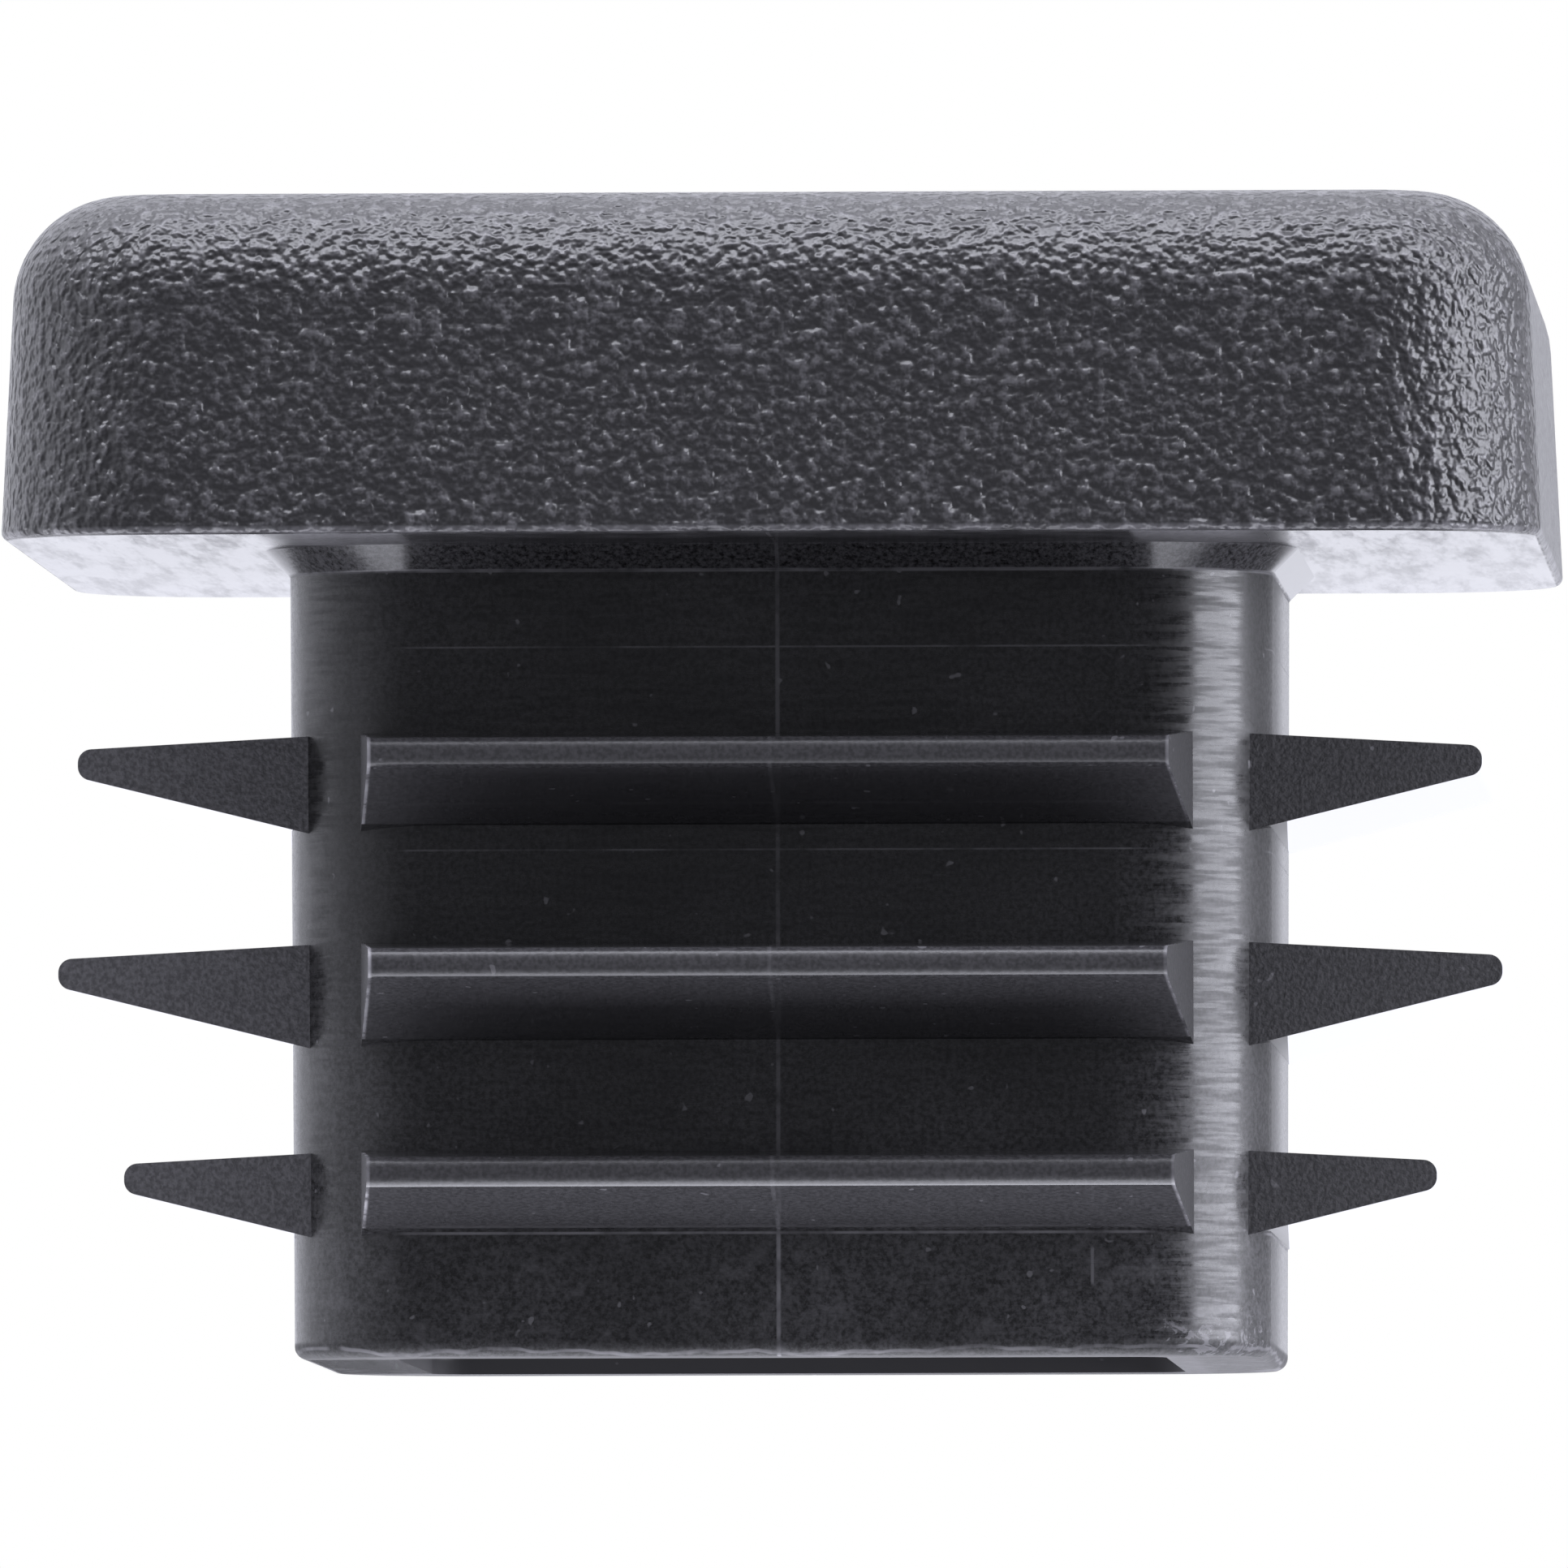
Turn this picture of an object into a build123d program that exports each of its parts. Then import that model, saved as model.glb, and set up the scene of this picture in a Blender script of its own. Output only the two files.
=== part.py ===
import os
from math import radians, tan

from build123d import *

# One-piece moulded end cap for a square tube, in millimetres.
# It stands on its open stem with the head up: Z = 0 is the stem's open end.

# Head, which stays outside the tube and covers its end
head_width = 25.0       # across the sides, where the head meets the tube
head_height = 5.6
head_draft = 2.8        # degrees that each side leans in towards the crown
crown_round = 1.8       # round from the sides into the crown
corner_extra = 0.9      # the upright corners are rounder than the crown by this
lip_round = 0.15        # small round along the head's lower edge

# Stem, the hollow plug that goes into the tube
stem_width = 16.05      # across the sides, just under the head
stem_length = 13.2
stem_draft = 0.25       # degrees that each side leans in towards the open end
stem_corner = 2.5
root_slope = 0.42       # sloping band between the stem and the head's underside, both ways
rim_round = 0.22        # round on the outer edge of the open end

# Core, the blind hollow up the middle of the stem and the head
stem_wall = 1.7         # at the open end
crown_thickness = 2.4
core_draft = 0.5        # degrees
core_round = 0.6        # upright corners and the edge of the hollow's ceiling

# Fins, one row of rings of four that grip the inside of the tube
fin_spans = (22.9, 23.55, 21.4)   # tip to tip, from the head down
fin_drop = 3.08         # head's underside to the top of the first ring
fin_pitch = 3.4         # from one ring to the next
fin_tip = 0.45          # thickness at the tip
fin_upper_slope = 3.0   # degrees that the upper flank falls towards the tip
fin_lower_slope = 13.9  # degrees that the lower flank rises towards the tip
fin_setback = 1.28      # stem's side to the end of a fin on the next side
fin_end_taper = 4.4     # degrees that a fin narrows towards its tip

# Sizes that follow from the ones above
head_corner = crown_round + corner_extra
stem_side = stem_width / 2
fin_half_length = stem_side - fin_setback
fin_root = stem_side - stem_wall / 2      # fins start halfway through the wall
rim_width = stem_width - 2 * stem_length * tan(radians(stem_draft))
core_width = rim_width - 2 * stem_wall
core_depth = stem_length + head_height - crown_thickness


def make_fin(span, top):
    """A fin on the +X side, its upper flank leaving the stem at height top."""
    tip = span / 2
    upper_tip = top - (tip - stem_side) * tan(radians(fin_upper_slope))
    lower_tip = upper_tip - fin_tip
    upper_root = top + (stem_side - fin_root) * tan(radians(fin_upper_slope))
    lower_root = lower_tip - (tip - fin_root) * tan(radians(fin_lower_slope))
    tip_half_length = fin_half_length - (tip - stem_side) * tan(radians(fin_end_taper))
    root_half_length = fin_half_length + (stem_side - fin_root) * tan(radians(fin_end_taper))
    with BuildPart() as fin:
        with BuildSketch(Plane.XZ) as section:
            with BuildLine():
                Polyline(
                    (fin_root, upper_root),
                    (tip, upper_tip),
                    (tip, lower_tip),
                    (fin_root, lower_root),
                    close=True,
                )
            make_face()
            fillet(section.vertices().group_by(Axis.X)[-1], fin_tip / 2)
        extrude(amount=root_half_length, both=True)
        with BuildSketch(Plane.XY.offset(lower_root)):
            with BuildLine():
                Polyline(
                    (fin_root, -root_half_length),
                    (tip, -tip_half_length),
                    (tip, tip_half_length),
                    (fin_root, root_half_length),
                    close=True,
                )
            make_face()
        extrude(amount=upper_root - lower_root, mode=Mode.INTERSECT)
    return fin.part


# The fins of one side, the same on all four
fins = [
    make_fin(span, stem_length - fin_drop - ring * fin_pitch)
    for ring, span in enumerate(fin_spans)
]

# The shape of the hollow, closed at the top and open at the rim
with BuildPart() as core:
    with BuildSketch(Plane.XY):
        Rectangle(core_width, core_width)
    extrude(amount=core_depth, taper=core_draft)
    upright = core.edges().filter_by(Axis.Z, reverse=True).filter_by(GeomType.LINE)
    sides = upright.filter_by(lambda edge: abs(edge.center().Z - core_depth / 2) < core_depth / 4)
    fillet(sides + core.faces().sort_by(Axis.Z)[-1].edges(), core_round)

with BuildPart() as cap:
    # Head: a drafted square block, rounded at the corners, the crown and the lip
    with BuildSketch(Plane.XY.offset(stem_length)):
        Rectangle(head_width, head_width)
    extrude(amount=head_height, taper=head_draft)
    middle = stem_length + head_height / 2
    fillet(cap.edges().filter_by(lambda edge: abs(edge.center().Z - middle) < head_height / 4), head_corner)
    fillet(cap.faces().sort_by(Axis.Z)[-1].edges(), crown_round)
    fillet(cap.faces().sort_by(Axis.Z)[0].edges(), lip_round)

    # Stem: a rounded square plug hanging from the underside
    with BuildSketch(Plane((0, 0, stem_length), z_dir=(0, 0, -1))):
        RectangleRounded(stem_width, stem_width, stem_corner)
    extrude(amount=stem_length, taper=stem_draft)
    seat_edges = cap.edges().filter_by_position(Axis.Z, stem_length, stem_length)
    root = seat_edges.filter_by(lambda edge: edge.bounding_box().max.X < stem_side + lip_round
                                and edge.bounding_box().min.X > -stem_side - lip_round)
    chamfer(root, root_slope)
    fillet(cap.faces().sort_by(Axis.Z)[0].edges(), rim_round)

    # Rings of fins, then the hollow
    for fin in fins:
        with PolarLocations(0, 4):
            add(fin)
    add(core.part, mode=Mode.SUBTRACT)

cap.part.label = "end_cap"

os.makedirs("parts", exist_ok=True)
export_step(cap.part, "parts/end_cap.step")
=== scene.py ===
# Square tube end cap: finish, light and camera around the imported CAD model.
# Metres, +Z up, origin at the centre of the stem's open end.
import math
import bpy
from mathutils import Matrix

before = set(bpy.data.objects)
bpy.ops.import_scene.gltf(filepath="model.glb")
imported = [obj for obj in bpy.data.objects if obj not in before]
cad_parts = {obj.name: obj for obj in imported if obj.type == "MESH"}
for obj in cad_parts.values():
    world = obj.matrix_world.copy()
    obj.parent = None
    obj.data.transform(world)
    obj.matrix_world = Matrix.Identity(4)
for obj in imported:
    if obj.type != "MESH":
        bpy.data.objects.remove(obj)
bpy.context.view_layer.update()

from types import SimpleNamespace

import bmesh
import bpy
from mathutils import Matrix, Vector

scene = bpy.context.scene
mm = 0.001

# Places on the cap, from the CAD's sizes
capPlaces = {
    "underside": 13.2 * mm,    # of the head, which the tube's end meets
    "rootBand": 0.42 * mm,     # sloping band between the stem and the underside
    "stemSide": 8.03 * mm,     # axis to the stem's side
    "finEnd": 7.6 * mm,        # the fins' end faces all lie further out than this
    "finHalf": 6.745 * mm,     # half a fin's length at the stem
    "finTaper": 0.077,         # each end's lean, across per outward
    "hollowSide": 6.8 * mm,    # between the hollow's side and the stem's
}
under = capPlaces["underside"]


# Node helpers

def addNode(tree, kind, **settings):
    # a shader node with its settings and its input values
    node = tree.nodes.new(kind)
    for name, value in settings.pop("inputs", {}).items():
        node.inputs[name].default_value = value
    for name, value in settings.items():
        setattr(node, name, value)
    return node


def setInput(tree, socket, value):
    # a number is set, and another node's output is linked
    if isinstance(value, (int, float)):
        socket.default_value = value
    else:
        tree.links.new(value, socket)


def addMath(tree, operation, first, second=0.0):
    node = addNode(tree, "ShaderNodeMath", operation=operation)
    for socket, value in zip(node.inputs, (first, second)):
        setInput(tree, socket, value)
    return node.outputs[0]


def addTimes(tree, *values):
    # the product of several
    result = values[0]
    for value in values[1:]:
        result = addMath(tree, "MULTIPLY", result, value)
    return result


def addMost(tree, *values):
    # the largest of several
    result = values[0]
    for value in values[1:]:
        result = addMath(tree, "MAXIMUM", result, value)
    return result


def addRest(tree, mask):
    # what a mask leaves out
    return addMath(tree, "SUBTRACT", 1.0, mask)


def addRamp(tree, value, low, high, toLow=0.0, toHigh=1.0):
    # a value between low and high, spread smoothly over toLow to toHigh
    node = addNode(tree, "ShaderNodeMapRange", interpolation_type="SMOOTHSTEP")
    for name, number in (("From Min", low), ("From Max", high), ("To Min", toLow), ("To Max", toHigh)):
        node.inputs[name].default_value = number
    tree.links.new(value, node.inputs["Value"])
    return node.outputs["Result"]


def addFall(tree, value, low, high, top=1.0):
    # top up to low, and down to 0 at high
    return addRamp(tree, value, low, high, top, 0.0)


def addBetween(tree, value, low, high, soft):
    # 1 from low to high, and down to 0 a soft edge away
    return addTimes(tree, addRamp(tree, value, low - soft, low), addFall(tree, value, high, high + soft))


def addLine(tree, value, middle, halfWidth, core=0.3):
    # 1 in the core about the middle, down to 0 half a width away
    away = addMath(tree, "ABSOLUTE", addMath(tree, "SUBTRACT", value, middle))
    return addFall(tree, away, halfWidth * core, halfWidth)


def addMix(tree, factor, first, second):
    # first where the factor is 0, second where it is 1
    node = addNode(tree, "ShaderNodeMix", data_type="FLOAT")
    for name, value in (("Factor", factor), ("A", first), ("B", second)):
        setInput(tree, node.inputs[name], value)
    return node.outputs["Result"]


def addLayers(tree, base, layers):
    # each layer is a mask and what it puts over the ones before
    for mask, value in layers:
        base = addMix(tree, mask, base, value)
    return base


def addNoise(tree, vector, scale, detail=2.0, roughness=0.5, stretch=None, distortion=0.0, spread=None):
    # noise with so many lumps per metre, longer where stretch is under 1
    if stretch:
        mapping = addNode(tree, "ShaderNodeMapping", inputs={"Scale": stretch})
        tree.links.new(vector, mapping.inputs["Vector"])
        vector = mapping.outputs[0]
    noise = addNode(tree, "ShaderNodeTexNoise", noise_dimensions="3D",
                    inputs={"Scale": scale, "Detail": detail, "Roughness": roughness,
                            "Distortion": distortion})
    tree.links.new(vector, noise.inputs["Vector"])
    return addRamp(tree, noise.outputs["Fac"], *spread) if spread else noise.outputs["Fac"]


def addBump(tree, height, distance, before=None):
    bump = addNode(tree, "ShaderNodeBump", inputs={"Strength": 1.0, "Distance": distance})
    tree.links.new(height, bump.inputs["Height"])
    if before:
        tree.links.new(before, bump.inputs["Normal"])
    return bump.outputs["Normal"]


# Regions of the plastic. A pair is where a mask's soft edge starts and ends

regions = {
    "head": (under + 0.005 * mm, under + 0.03 * mm),          # height
    "facesDown": (-0.98, -0.9),                               # Z of the normal
    "underside": (under - 0.1 * mm, under - 0.05 * mm),       # height
    "root": (under - capPlaces["rootBand"], under - capPlaces["rootBand"] + 0.02 * mm),
    "rootReach": (9 * mm, 9.5 * mm),                          # outward
    "cornerStart": (5.8 * mm, 6.0 * mm),                      # painted reflection at the underside's corners, along X
    "cornerEnd": (7.4 * mm, 8.4 * mm),
    "cornerFront": (8 * mm, 8.1 * mm),                        # along Y
    "finStart": (capPlaces["stemSide"] + 0.03 * mm, capPlaces["stemSide"] + 0.1 * mm),
    "finTop": (under - 0.6 * mm, under - 0.5 * mm),
    "facesAlong": (0.8, 0.9),                                 # share of the normal
    "finEnd": (capPlaces["finEnd"] - 0.05 * mm, capPlaces["finEnd"]),
    "tip": (0.5, 0.85),                                       # share of the normal
    "flank": (-0.9, -0.85),                                   # Z of the normal
    "flankHeights": (1 * mm, 12.3 * mm, 0.1 * mm),            # low, high and soft
    "wall": (capPlaces["hollowSide"] - 0.2 * mm, capPlaces["hollowSide"]),
    "hollowTop": (16.5 * mm, 16.6 * mm),
    "lively": (0.75, 0.95),                                   # walls that look sideways stay calm
    "rim": (0.2 * mm, 0.3 * mm),                              # height
}


def findPlaces(tree):
    # coordinates and masks that the plastic's relief, colour and roughness share
    coordinates = addNode(tree, "ShaderNodeTexCoord")
    split = addNode(tree, "ShaderNodeSeparateXYZ")
    facing = addNode(tree, "ShaderNodeSeparateXYZ")
    tree.links.new(coordinates.outputs["Object"], split.inputs[0])
    tree.links.new(coordinates.outputs["Normal"], facing.inputs[0])
    at = SimpleNamespace(point=coordinates.outputs["Object"])
    at.x, at.y, at.height = (split.outputs[name] for name in "XYZ")
    at.sideX, at.sideY = (addMath(tree, "ABSOLUTE", value) for value in (at.x, at.y))
    at.outward = addMath(tree, "MAXIMUM", at.sideX, at.sideY)
    at.across = addMath(tree, "MINIMUM", at.sideX, at.sideY)
    facesX, facesY = (addMath(tree, "ABSOLUTE", facing.outputs[name]) for name in "XY")

    on = SimpleNamespace()
    on.head = addRamp(tree, at.height, *regions["head"])
    on.belowHead = addRest(tree, on.head)
    on.underside = addTimes(tree, addFall(tree, facing.outputs["Z"], *regions["facesDown"]),
                            addRamp(tree, at.height, *regions["underside"]))
    on.root = addTimes(tree, addRamp(tree, at.height, *regions["root"]),
                       addFall(tree, at.outward, *regions["rootReach"]))
    # painted reflection of the light from below, on the underside by the stem's corners
    on.rootCorner = addTimes(tree, on.underside, addRamp(tree, at.sideX, *regions["cornerStart"]),
                             addFall(tree, at.sideX, *regions["cornerEnd"]),
                             addRamp(tree, at.sideY, *regions["cornerFront"]))
    on.fin = addTimes(tree, addRamp(tree, at.outward, *regions["finStart"]),
                      addFall(tree, at.height, *regions["finTop"]))
    frontEnd = addTimes(tree, addRamp(tree, facesY, *regions["facesAlong"]),
                        addRamp(tree, at.sideX, *regions["finEnd"]))
    on.sideEnd = addTimes(tree, addRamp(tree, facesX, *regions["facesAlong"]),
                          addRamp(tree, at.sideY, *regions["finEnd"]))
    on.finEnd = addTimes(tree, addMost(tree, frontEnd, on.sideEnd), on.belowHead)
    on.tip = addTimes(tree, addRamp(tree, facesY, *regions["tip"]), on.fin)
    on.flank = addTimes(tree, addFall(tree, facing.outputs["Z"], *regions["flank"]),
                        addBetween(tree, at.height, *regions["flankHeights"]))
    on.finOrFlank = addMost(tree, on.fin, on.flank)
    on.hollow = addTimes(tree, addFall(tree, at.outward, *regions["wall"]),
                         addFall(tree, at.height, *regions["hollowTop"]))
    on.wall = addTimes(tree, on.belowHead, addRest(tree, on.finOrFlank),
                       addRamp(tree, at.outward, *regions["wall"]))
    on.lively = addFall(tree, facesX, *regions["lively"])
    on.rim = addFall(tree, at.height, *regions["rim"])
    return at, on


# Noises of the plastic: lumps per metre, and what a spread turns low and high values into

noises = {
    # grain of the head, and its light tips: partly wear, partly painted glints
    "grain": {"scale": 5800.0, "detail": 1.0, "roughness": 0.4},
    "glintAndWearSpecks": {"scale": 5800.0, "detail": 2.0, "roughness": 0.6, "spread": (0.48, 0.72)},
    # tool marks, long across and short up
    "streaks": {"scale": 10000.0, "detail": 3.0, "roughness": 0.6, "stretch": (0.08, 0.08, 1)},
    # fine roughness of the fin ends
    "fine": {"scale": 14000.0, "detail": 2.0, "roughness": 0.5},
    # breaks in the mould lines and edges, and the rim line's height
    "patches": {"scale": 900.0, "detail": 3.0, "roughness": 0.7, "spread": (0.35, 0.6, 0.25, 1.0)},
    "wobble": {"scale": 350.0, "detail": 3.0, "roughness": 0.7, "spread": (0.3, 0.7, 0.0, 0.16 * mm)},
    # wear and dirt
    "scratches": {"scale": 3500.0, "detail": 3.0, "roughness": 0.7, "stretch": (0.5, 1, 1),
                  "distortion": 1.5, "spread": (0.56, 0.61)},
    "smudges": {"scale": 1700.0, "detail": 4.0, "roughness": 0.7, "spread": (0.52, 0.7)},
    "dust": {"scale": 4200.0, "detail": 1.0, "spread": (0.745, 0.79)},
    # uneven colour, small and large
    "mottle": {"scale": 12000.0, "detail": 3.0, "roughness": 0.75, "spread": (0.3, 0.7, 0.2, 1.9)},
    "clouds": {"scale": 260.0, "detail": 2.0, "spread": (0.35, 0.65, 0.8, 1.25)},
    # roughness of the underside
    "undersideRough": {"scale": 2600.0, "detail": 4.0, "roughness": 0.7, "stretch": (1, 0.07, 1),
                       "spread": (0.4, 0.75, 0.16, 0.26)},
}


# Relief: grain on the head, tool marks at the stem's corners, fine roughness on the fin ends

relief = {
    "grainDepth": 0.12 * mm,
    "streakDepth": 0.003 * mm,
    "fineDepth": 0.02 * mm,
    "corners": (5.2 * mm, 6.2 * mm, 0.03, 1.0),    # across, and the tool marks' share of their depth
    "tipShare": 0.2,                               # of the fine roughness
}


def addRelief(tree, at, on, noise):
    tooled = addTimes(tree, on.wall, addRamp(tree, at.across, *relief["corners"]), on.lively)
    matt = addMost(tree, on.finEnd, addTimes(tree, on.tip, relief["tipShare"]))
    normal = addBump(tree, addTimes(tree, noise["grain"], on.head), relief["grainDepth"])
    normal = addBump(tree, addTimes(tree, noise["streaks"], tooled), relief["streakDepth"], normal)
    return addBump(tree, addTimes(tree, noise["fine"], matt), relief["fineDepth"], normal)


# Mould lines: parting line up the front and back, witness lines round the stem; painted highlights along the
# root band's lower edge, the lip and the rim

mouldLines = {
    "halfWidth": 0.025 * mm,
    "rootWidth": 1.6,                                 # times the half width, for the painted highlight at the root band's edge
    "rootStrength": 0.7,
    "witness": ((1.67, 0.4), (4.97, 0.4), (8.05, 0.4), (11.2, 0.8)),    # mm below the underside, strength
    "witnessExtraWidth": 0.5,
    "witnessEnds": (5.9 * mm, 6.3 * mm),              # across
    "partingX": 0.03 * mm,
    "partingWidth": 2,
    "partingSides": (7.4 * mm, 7.5 * mm),             # along Y, so the front and back alone
    "partingOnFin": 0.4,                              # its strength there
    "partingHeights": (1.9 * mm, 2.2 * mm, 1.0, 0.45),    # strongest below the lowest fin
    "lip": (under + 0.06 * mm, 0.09 * mm),            # middle and half width of the painted highlight along the lip
    "lipStrength": 0.6,
    "rimWidth": 1.6,
    "rimSide": (7.3 * mm, 7.4 * mm, 0.0, 0.7),        # outward, and its strength
}


def addMouldLines(tree, at, on, noise):
    # returns the lines alone, and the lines with the painted highlights along the lip and rim
    thin = mouldLines["halfWidth"]
    # painted highlight along the root band's lower edge, where it meets the stem
    rootEdgeHighlight = addLine(tree, at.height, under - capPlaces["rootBand"], thin * mouldLines["rootWidth"])
    lines = addTimes(tree, rootEdgeHighlight, on.wall, mouldLines["rootStrength"])
    for drop, strength in mouldLines["witness"]:
        width = thin * (mouldLines["witnessExtraWidth"] + strength)
        lines = addMost(tree, lines, addTimes(
            tree, addLine(tree, at.height, under - drop * mm, width), on.wall,
            addFall(tree, at.across, *mouldLines["witnessEnds"], strength)))
    parting = addTimes(
        tree, addLine(tree, at.x, mouldLines["partingX"], thin * mouldLines["partingWidth"]),
        addRamp(tree, at.sideY, *mouldLines["partingSides"]),
        addRamp(tree, on.fin, 0.0, 1.0, 1.0, mouldLines["partingOnFin"]),
        addRamp(tree, at.height, *mouldLines["partingHeights"]))
    lines = addTimes(tree, addMost(tree, lines, parting), noise["patches"], on.belowHead)
    # painted highlights along the lip and the rim's lower edge
    lip = addTimes(tree, addLine(tree, at.height, *mouldLines["lip"]), noise["patches"],
                   mouldLines["lipStrength"])
    rim = addTimes(tree, addLine(tree, at.height, noise["wobble"], thin * mouldLines["rimWidth"]),
                   noise["patches"], addRamp(tree, at.outward, *mouldLines["rimSide"]))
    return lines, addMost(tree, lines, lip, rim)


# Scuffs: a short upright one, scratches at the front right corner, smudges low down, sparse dust

scuffPlaces = {
    "front": (-7.8 * mm, -7.4 * mm),                  # along Y
    "upright": (5.13 * mm, 0.04 * mm),                # X and half width
    "uprightHeights": (1.2 * mm, 1.7 * mm, 0.1 * mm),
    "scratchesX": (6.4 * mm, 7.8 * mm, 0.4 * mm),
    "scratchesTop": (0.3 * mm, 0.9 * mm),
    "smudgesTop": (1.8 * mm, 2.2 * mm, 0.3),          # and their strength
}


def addScuffs(tree, at, on, noise):
    upright = addTimes(tree, addFall(tree, at.y, *scuffPlaces["front"]),
                       addLine(tree, at.x, *scuffPlaces["upright"]),
                       addBetween(tree, at.height, *scuffPlaces["uprightHeights"]))
    scratches = addTimes(tree, noise["scratches"], addBetween(tree, at.x, *scuffPlaces["scratchesX"]),
                         addFall(tree, at.height, *scuffPlaces["scratchesTop"]))
    smudges = addTimes(tree, noise["smudges"], on.wall,
                       addFall(tree, at.height, *scuffPlaces["smudgesTop"]))
    return addMost(tree, upright, scratches, smudges, addTimes(tree, noise["dust"], on.belowHead))


# Painted highlights along the fins' end edges

finEdges = {
    "halfWidth": 0.075 * mm,
    "strength": (-8 * mm, 8 * mm, 1.0, 0.5),          # from left to right, so the painted highlight is stronger on the left
    "dullSides": (7.5 * mm, 7.6 * mm),                # along Y, so the front and back alone
}


def addFinEdges(tree, at, on, noise):
    # returns all the painted edge highlights, and those of the front and back
    taper = capPlaces["finTaper"]
    half = addMath(tree, "SUBTRACT", capPlaces["finHalf"] + capPlaces["stemSide"] * taper,
                   addMath(tree, "MULTIPLY", at.outward, taper))
    beyond = addMath(tree, "SUBTRACT", at.across, half)
    edge = addTimes(tree, addLine(tree, beyond, 0.0, finEdges["halfWidth"]),
                    on.fin, addRest(tree, on.finEnd), noise["patches"],
                    addRamp(tree, at.x, *finEdges["strength"]))
    return edge, addTimes(tree, edge, addRamp(tree, at.sideY, *finEdges["dullSides"]))


# Colour: a grey for each region, nearly neutral

greys = {
    "stem": 0.012,
    # painted light: the hollow's inside is paler than the plastic, though it lies in shade
    "hollow": 0.06,
    "root": 0.05,            # sloping band under the head, painted paler than the stem against its shade
    "head": 0.027,
    "glintAndWearSpecks": 0.09,          # light tips of the head's grain: partly wear, partly painted glints
    "fin": 0.045,
    "sideEnd": 0.02,         # painted shade: darker fin ends that look sideways
    "corner": 0.1,           # painted reflection on the underside by the stem's corners
    "line": 0.2,             # mould lines, and painted highlights along the root band's edge, lip and rim
    "scuff": 0.12,
    "edge": 0.3,             # painted highlight along the fins' end edges
    "paintedLightLow": (1 * mm, 8 * mm, 2.2, 1.2),               # painted light: the stem is paler low down, where the head shades it less
    "fine": (0.3, 0.7, 0.7, 1.3),                     # fine noise on the fins
    "ends": (-8 * mm, 8 * mm, 2.3, 1.0),              # painted light: fin ends are paler on the left
    "shares": (("Red", 1.0), ("Green", 0.98), ("Blue", 1.05)),    # of the grey
}


def addColor(tree, at, on, noise, pale, scuffs, edgeHighlight):
    # the stem's grey, with painted light making it paler low down
    stem = addTimes(tree, noise["mottle"], noise["clouds"], addRamp(tree, at.height, *greys["paintedLightLow"]),
                    greys["stem"])
    fin = addTimes(tree, addRamp(tree, noise["fine"], *greys["fine"]),
                   # fin ends with painted light, paler on the left
                   addMix(tree, on.finEnd, 1.0, addRamp(tree, at.x, *greys["ends"])),
                   # painted shade on the fin ends that look sideways
                   addMix(tree, on.sideEnd, greys["fin"], greys["sideEnd"]))
    grey = addLayers(tree, stem, (
        (on.hollow, greys["hollow"]),
        (on.root, addTimes(tree, noise["mottle"], greys["root"])),
        (on.head, addMix(tree, noise["glintAndWearSpecks"], greys["head"], greys["glintAndWearSpecks"])),
        (addMost(tree, on.fin, on.finEnd), fin),
        (on.rootCorner, addTimes(tree, noise["mottle"], greys["corner"])),
        # mould lines, and painted highlights along the root band's edge, lip and rim
        (pale, greys["line"]),
        (scuffs, greys["scuff"]),
        (edgeHighlight, greys["edge"]),
    ))
    color = addNode(tree, "ShaderNodeCombineColor")
    for name, share in greys["shares"]:
        tree.links.new(addTimes(tree, grey, share), color.inputs[name])
    return color.outputs[0]


# Roughness: polished stem and fin flanks, satin head, matt fin ends

roughs = {
    "stem": 0.3,
    "head": 0.31,
    "flank": 0.08,
    "tip": 0.36,
    "rim": 0.65,
    "finEnd": 0.75,
    "sideEnd": 1.0,
    "root": 0.2,
    "mark": 0.5,             # mould lines, fin edges and the corners with painted reflection
    "streaks": (0.35, 0.65, 0.6, 1.5),                # tool marks, times the stem's
    "fine": (0.3, 0.7, 0.85, 1.15),                   # fine noise on the walls that look sideways
    "rightSide": (-1 * mm, 1 * mm),
    "leftWall": 0.9,                                  # times the stem's
    "rightWall": (-6 * mm, 3 * mm, 1.55, 0.9),        # from front to back, times the stem's
    "lean": 0.023,                                    # photograph's view across the cap, X per Y
    "againstWall": (7.6 * mm, 8.12 * mm, 0.01 * mm),    # flanks seen there against the stem's wall
}


def addRoughness(tree, at, on, noise, marks):
    calm = addTimes(tree, addMix(tree, addRamp(tree, at.x, *roughs["rightSide"]), roughs["leftWall"],
                                 addRamp(tree, at.y, *roughs["rightWall"])),
                    addRamp(tree, noise["fine"], *roughs["fine"]))
    stem = addTimes(tree, addMix(tree, on.lively, calm, addRamp(tree, noise["streaks"], *roughs["streaks"])),
                    roughs["stem"])
    leaning = addMath(tree, "ADD", at.x, addTimes(tree, at.y, roughs["lean"]))
    againstWall = addTimes(tree, on.finOrFlank, addBetween(tree, leaning, *roughs["againstWall"]))
    return addLayers(tree, stem, (
        (on.head, roughs["head"]),
        (on.finOrFlank, addMix(tree, on.tip, roughs["flank"], roughs["tip"])),
        (on.underside, noise["undersideRough"]),
        (againstWall, roughs["stem"]),
        (on.rim, roughs["rim"]),
        (on.finEnd, addMix(tree, on.sideEnd, roughs["finEnd"], roughs["sideEnd"])),
        (addTimes(tree, on.root, addRest(tree, on.underside)), roughs["root"]),
        (addMost(tree, *marks, on.rootCorner), roughs["mark"]),
    ))


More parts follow.
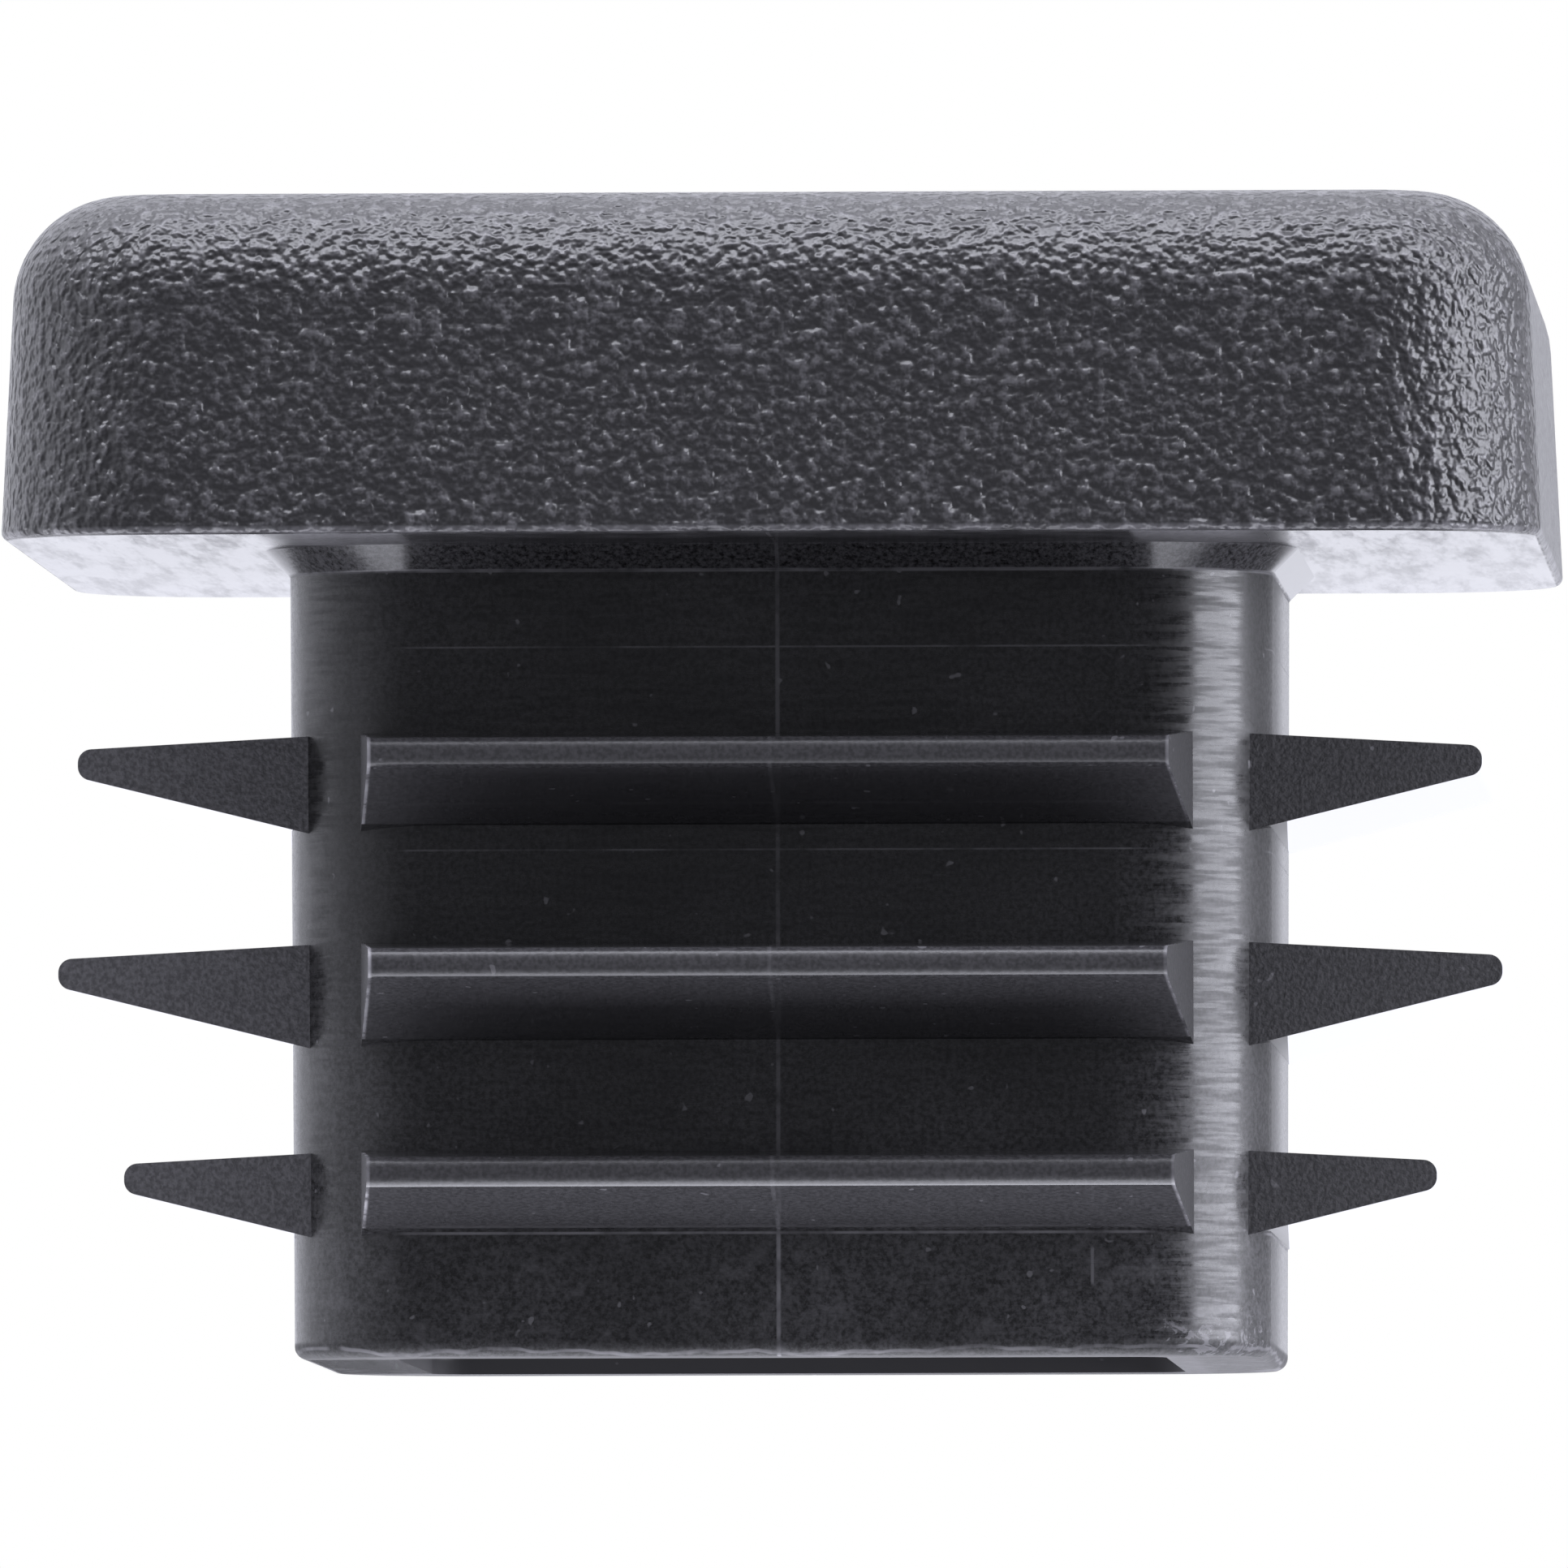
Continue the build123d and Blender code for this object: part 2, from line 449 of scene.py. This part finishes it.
def makePlastic():
    material = bpy.data.materials.new("blackPlastic")
    material.use_nodes = True
    tree = material.node_tree
    shader = tree.nodes["Principled BSDF"]
    shader.inputs["IOR"].default_value = 1.5
    at, on = findPlaces(tree)
    noise = {name: addNoise(tree, at.point, **settings) for name, settings in noises.items()}
    lines, pale = addMouldLines(tree, at, on, noise)
    scuffs = addScuffs(tree, at, on, noise)
    edgeHighlight, dullEdge = addFinEdges(tree, at, on, noise)
    for name, value in (
        ("Normal", addRelief(tree, at, on, noise)),
        ("Base Color", addColor(tree, at, on, noise, pale, scuffs, edgeHighlight)),
        ("Roughness", addRoughness(tree, at, on, noise, (lines, dullEdge))),
    ):
        tree.links.new(value, shader.inputs[name])
    return material


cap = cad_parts["end_cap"]
cap.data.materials.clear()
cap.data.materials.append(makePlastic())
print("plastic done")


# Floor: pale, and open to a camera that looks up past its edge from below

floorLook = {
    "halfSide": 3.0,
    "color": (0.8, 0.8, 0.8, 1),
    "roughness": 0.9,
}


def makePaleFloor():
    material = bpy.data.materials.new("paleFloor")
    material.use_nodes = True
    tree = material.node_tree
    shader = tree.nodes["Principled BSDF"]
    shader.inputs["Base Color"].default_value = floorLook["color"]
    shader.inputs["Roughness"].default_value = floorLook["roughness"]
    side = addNode(tree, "ShaderNodeNewGeometry")
    clear = addNode(tree, "ShaderNodeBsdfTransparent")
    mix = addNode(tree, "ShaderNodeMixShader")
    tree.links.new(side.outputs["Backfacing"], mix.inputs["Fac"])
    tree.links.new(shader.outputs[0], mix.inputs[1])
    tree.links.new(clear.outputs[0], mix.inputs[2])
    tree.links.new(mix.outputs[0], tree.nodes["Material Output"].inputs["Surface"])
    return material


def makeFloor():
    mesh = bpy.data.meshes.new("floor")
    shape = bmesh.new()
    bmesh.ops.create_grid(shape, x_segments=1, y_segments=1, size=floorLook["halfSide"])
    shape.to_mesh(mesh)
    shape.free()
    floor = bpy.data.objects.new("floor", mesh)
    scene.collection.objects.link(floor)
    mesh.materials.append(makePaleFloor())
    # the camera sees it, and the light from below passes it
    floor.visible_glossy = False
    floor.visible_diffuse = False
    floor.visible_shadow = False


makeFloor()
print("floor done")


# Studio light

studio = {
    "behind": 1.3,      # radiance beyond the cap, seen in its grazing reflections
    "inFront": 0.25,    # the dim room round the camera
    "beside": 0.75,     # and further out
    "overhead": 0.4,    # more from high up behind
    "toTheRight": 0.5,  # share that is left behind on the right
    "tint": (0.96, 0.97, 1.07, 1),    # slightly cool
    # where each of these starts and ends, as shares of the direction
    "frontEdge": (-0.95, -0.4),       # Y
    "backEdge": (-0.4, 0.3),          # Y
    "rightEdge": (0.1, 0.45),         # X
    "overheadEdge": (0.2, 0.7),       # Z
    "overheadFront": (0.0, 0.3),      # Y
}


def makeWorld():
    # the camera sees plain white, and the cap is lit by the room
    world = bpy.data.worlds.new("studio")
    scene.world = world
    world.use_nodes = True
    tree = world.node_tree
    links = tree.links
    backdrop = tree.nodes["Background"]
    backdrop.inputs["Color"].default_value = (1, 1, 1, 1)
    direction = addNode(tree, "ShaderNodeTexCoord")
    split = addNode(tree, "ShaderNodeSeparateXYZ")
    links.new(direction.outputs["Generated"], split.inputs[0])
    room = addNode(tree, "ShaderNodeBackground", inputs={"Color": studio["tint"]})
    front = addRamp(tree, split.outputs["Y"], *studio["frontEdge"], studio["inFront"], studio["beside"])
    back = addRamp(tree, split.outputs["Y"], *studio["backEdge"], 0.0, studio["behind"] - studio["beside"])
    rightSide = addRamp(tree, split.outputs["X"], *studio["rightEdge"], 1.0, studio["toTheRight"])
    high = addRamp(tree, split.outputs["Z"], *studio["overheadEdge"], 0.0, studio["overhead"])
    above = addTimes(tree, high, addRamp(tree, split.outputs["Y"], *studio["overheadFront"]))
    around = addTimes(tree, addMath(tree, "ADD", front, back), rightSide)
    links.new(addMath(tree, "ADD", around, above), room.inputs["Strength"])
    seen = addNode(tree, "ShaderNodeLightPath")
    choose = addNode(tree, "ShaderNodeMixShader")
    links.new(seen.outputs["Is Camera Ray"], choose.inputs["Fac"])
    links.new(room.outputs[0], choose.inputs[1])
    links.new(backdrop.outputs[0], choose.inputs[2])
    links.new(choose.outputs[0], tree.nodes["World Output"].inputs["Surface"])


makeWorld()


# Softboxes: azimuth from the front towards the right, elevation, distance, width, height, radiance

lampAim = 9 * mm    # height on the axis that they point at
lamps = {
    "rightSoftbox": (83, 12, 0.6, 0.52, 0.5, 7.7),
    "topSoftbox": (0, 82, 0.7, 1.3, 0.44, 6.9),
    "lowSoftbox": (180, -76, 0.7, 1.4, 0.9, 2.6),
}


def makeLamp(name, azimuth, elevation, distance, width, height, radiance):
    light = bpy.data.lights.new(name, "AREA")
    light.shape = "RECTANGLE"
    light.size = width
    light.size_y = height
    light.energy = radiance * math.pi * width * height
    light.color = studio["tint"][:3]
    lamp = bpy.data.objects.new(name, light)
    scene.collection.objects.link(lamp)
    turn = math.radians(azimuth)
    rise = math.radians(elevation)
    aim = Vector((math.sin(turn) * math.cos(rise), -math.cos(turn) * math.cos(rise), math.sin(rise)))
    lamp.location = Vector((0, 0, lampAim)) + aim * distance
    lamp.rotation_mode = "QUATERNION"
    lamp.rotation_quaternion = aim.to_track_quat("Z", "Y")
    lamp.visible_camera = False


for lampName, values in lamps.items():
    makeLamp(lampName, *values)

print("light done")


# Camera, at the photograph's place

cameraPlace = {
    "location": (23.2259 * mm, -615.182 * mm, -12.6975 * mm),
    "yaw": 2.1781,           # degrees
    "pitch": 2.0727,
    "roll": -0.1115,
    "lens": 858.72,          # millimetres
    "sensor": 36,
    "clip": (0.01, 20),
}


def makeCamera():
    yaw, pitch, roll = (math.radians(cameraPlace[name]) for name in ("yaw", "pitch", "roll"))
    ahead = Vector((-math.sin(yaw) * math.cos(pitch), math.cos(yaw) * math.cos(pitch), math.sin(pitch)))
    level = Vector((math.cos(yaw), math.sin(yaw), 0))
    over = level.cross(ahead)
    right = math.cos(roll) * level + math.sin(roll) * over
    up = math.cos(roll) * over - math.sin(roll) * level
    lens = bpy.data.cameras.new("camera")
    lens.sensor_width = cameraPlace["sensor"]
    lens.lens = cameraPlace["lens"]
    lens.clip_start, lens.clip_end = cameraPlace["clip"]
    camera = bpy.data.objects.new("camera", lens)
    scene.collection.objects.link(camera)
    turned = Matrix((right, up, -ahead)).transposed()
    camera.matrix_world = Matrix.LocRotScale(Vector(cameraPlace["location"]), turned.to_quaternion(), None)
    scene.camera = camera


makeCamera()
scene.view_settings.view_transform = "Standard"
print("camera done")
